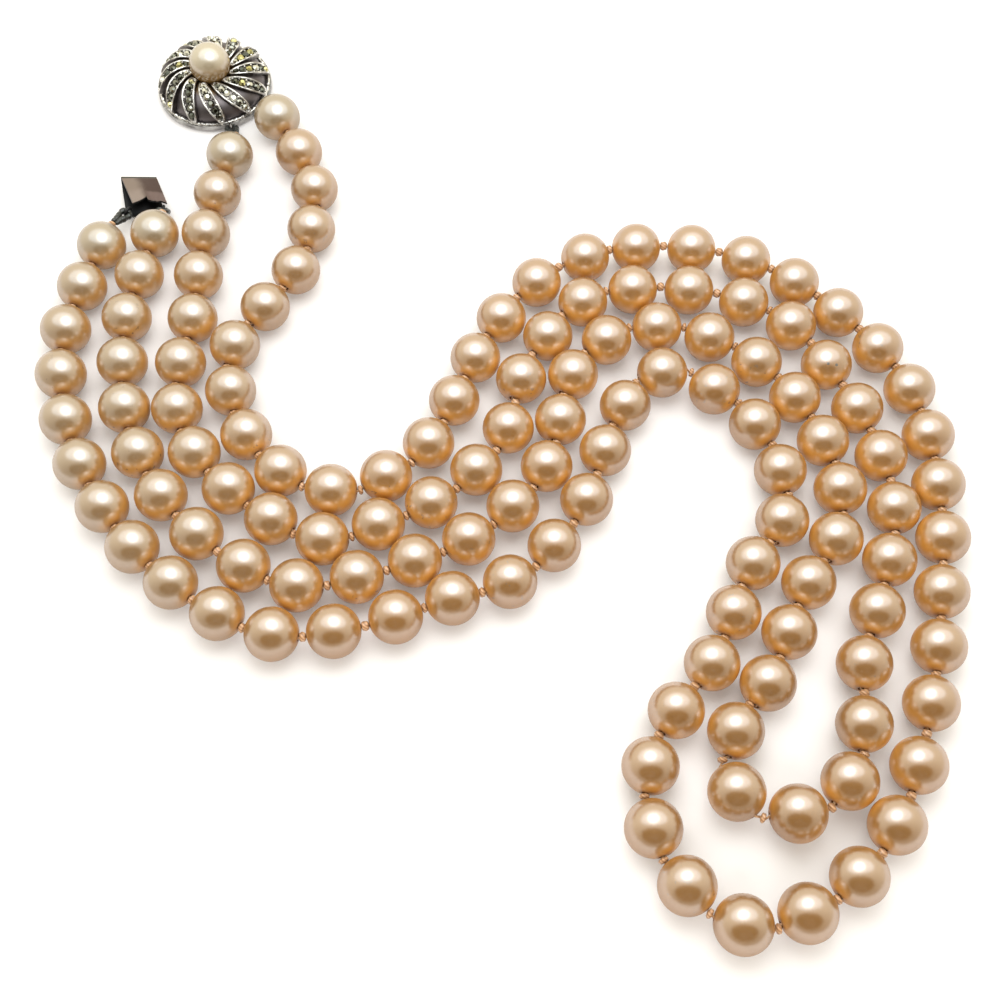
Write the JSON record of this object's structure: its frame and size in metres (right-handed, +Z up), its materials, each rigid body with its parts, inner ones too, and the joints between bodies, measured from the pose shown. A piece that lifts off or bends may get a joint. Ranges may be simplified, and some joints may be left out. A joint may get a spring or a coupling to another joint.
{
  "type": "multi strand necklace",
  "caption": "Knotted two-strand pearl necklace, unfastened, with a round domed pinwheel box clasp and a folded sprung tongue.",
  "frame": {"origin": "middle of the laid-out necklace's plan, on the surface that it lies on", "axes": "+X to the right and +Y away from the viewer as it lies, +Z up from the surface"},
  "size_m": [0.1436, 0.1618, 0.0102],
  "materials": {
    "pearl": "champagne nacre lacquer over a glass bead, satin lustre",
    "silk": "twisted silk thread, knotted",
    "silver": "worn rhodium-like silver plate, darkened in the recesses",
    "marcasite": "faceted polished iron pyrite",
    "clasp_pearl": "cream nacre lacquer, satin lustre",
    "gunmetal": "tarnished plated strip, satin",
    "loop_wire": "tarnished coiled wire"
  },
  "bodies": {
    "root": {"outer_pearls": "pearl", "inner_pearls": "pearl", "outer_thread": "silk", "inner_thread": "silk", "clasp_case": "silver", "marcasites": "marcasite", "clasp_pearl": "clasp_pearl", "tongue": "gunmetal", "end_loops": "loop_wire"}
  },
  "joints": []
}
